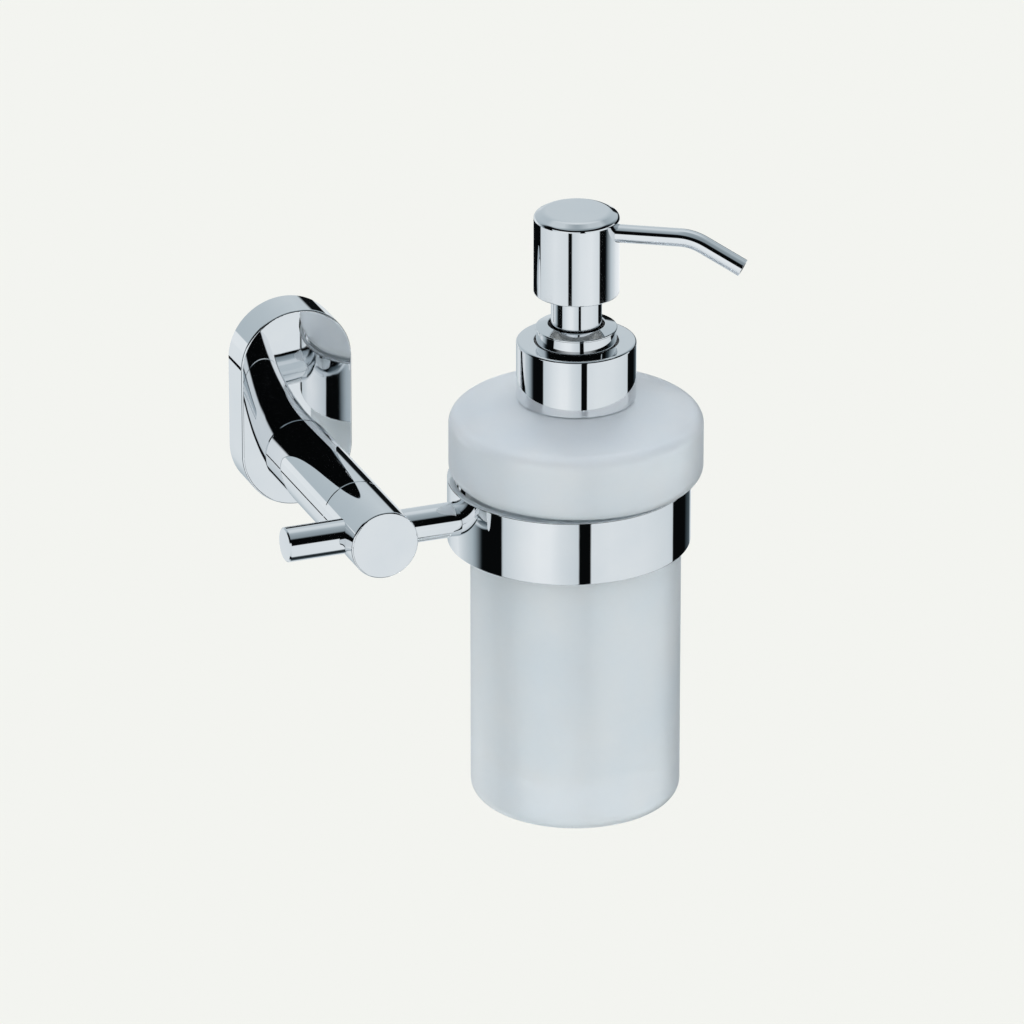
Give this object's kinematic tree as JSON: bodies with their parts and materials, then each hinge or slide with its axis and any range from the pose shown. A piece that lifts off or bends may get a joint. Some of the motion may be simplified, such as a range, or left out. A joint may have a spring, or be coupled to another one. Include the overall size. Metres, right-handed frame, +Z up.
{
  "type": "wall mounted soap dispenser",
  "caption": "Frosted glass lotion-pump bottle hanging by its shoulder in a chrome ring, held off the wall by a rod, an arm and a stadium-shaped cover.",
  "frame": {"origin": "middle of the wall bracket, on the wall plane", "axes": "+Z up, -Y out of the wall, +X along the cross rod towards the ring"},
  "size_m": [0.1278, 0.1091, 0.1791],
  "materials": {
    "polished_chrome": "mirror-polished chrome plate",
    "plain_steel": "plain stainless steel",
    "cast_bracket": "die-cast zinc alloy, tumbled",
    "frosted_glass": "acid-frosted outside",
    "white_plastic": "moulded polypropylene",
    "clear_tube": "translucent extruded tube",
    "piston_plastic": "soft moulded seal plastic",
    "seal_rubber": "soft foam seal"
  },
  "bodies": {
    "holder": {"wall_bracket": "cast_bracket", "cover_plate": "polished_chrome", "cover_grub_screw": "plain_steel", "arm_screw": "plain_steel", "arm_post": "polished_chrome", "arm_stud": "plain_steel", "arm_head": "polished_chrome", "rod_grub_screw": "plain_steel", "cross_rod": "polished_chrome", "ring_screw": "plain_steel", "holder_ring": "polished_chrome"},
    "bottle": {"bottle": "frosted_glass"},
    "pump": {"pump_housing": "white_plastic", "gland": "polished_chrome", "neck_gasket": "seal_rubber", "dip_tube": "clear_tube", "inlet_ball": "plain_steel"},
    "collar": {"collar_shell": "polished_chrome", "closure": "white_plastic"},
    "plunger": {"piston_stem": "white_plastic", "stem_sleeve": "polished_chrome", "piston": "piston_plastic", "return_spring": "plain_steel", "outlet_ball": "plain_steel"},
    "head": {"pump_head": "polished_chrome", "head_insert": "white_plastic", "spout": "polished_chrome"}
  },
  "joints": [
    {"name": "bottle_lift", "type": "slide", "parent": "holder", "child": "bottle", "axis": [0, 0, 1], "range_m": [0, 0.105]},
    {"name": "pump_rise", "type": "slide", "parent": "bottle", "child": "pump", "axis": [0, 0, 1], "range_m": [0, 0.0053]},
    {"name": "collar_turn", "type": "hinge", "parent": "pump", "child": "collar", "pos_m": [0.0616, -0.073, 0.03], "axis": [0, 0, 1], "range_deg": [0, 450]},
    {"name": "pump_press", "type": "slide", "parent": "pump", "child": "plunger", "axis": [0, 0, -1], "range_m": [0, 0.0087], "stiffness_N_per_m": 900, "springref_m": -0.006, "deforming": ["return_spring"]},
    {"name": "head_turn", "type": "hinge", "parent": "plunger", "child": "head", "pos_m": [0.0616, -0.073, 0.06], "axis": [0, 0, 1], "continuous": true}
  ],
  "couplings": [
    {"joint": "pump_rise", "follows": "collar_turn", "m_per_rad": 0.0006737}
  ]
}
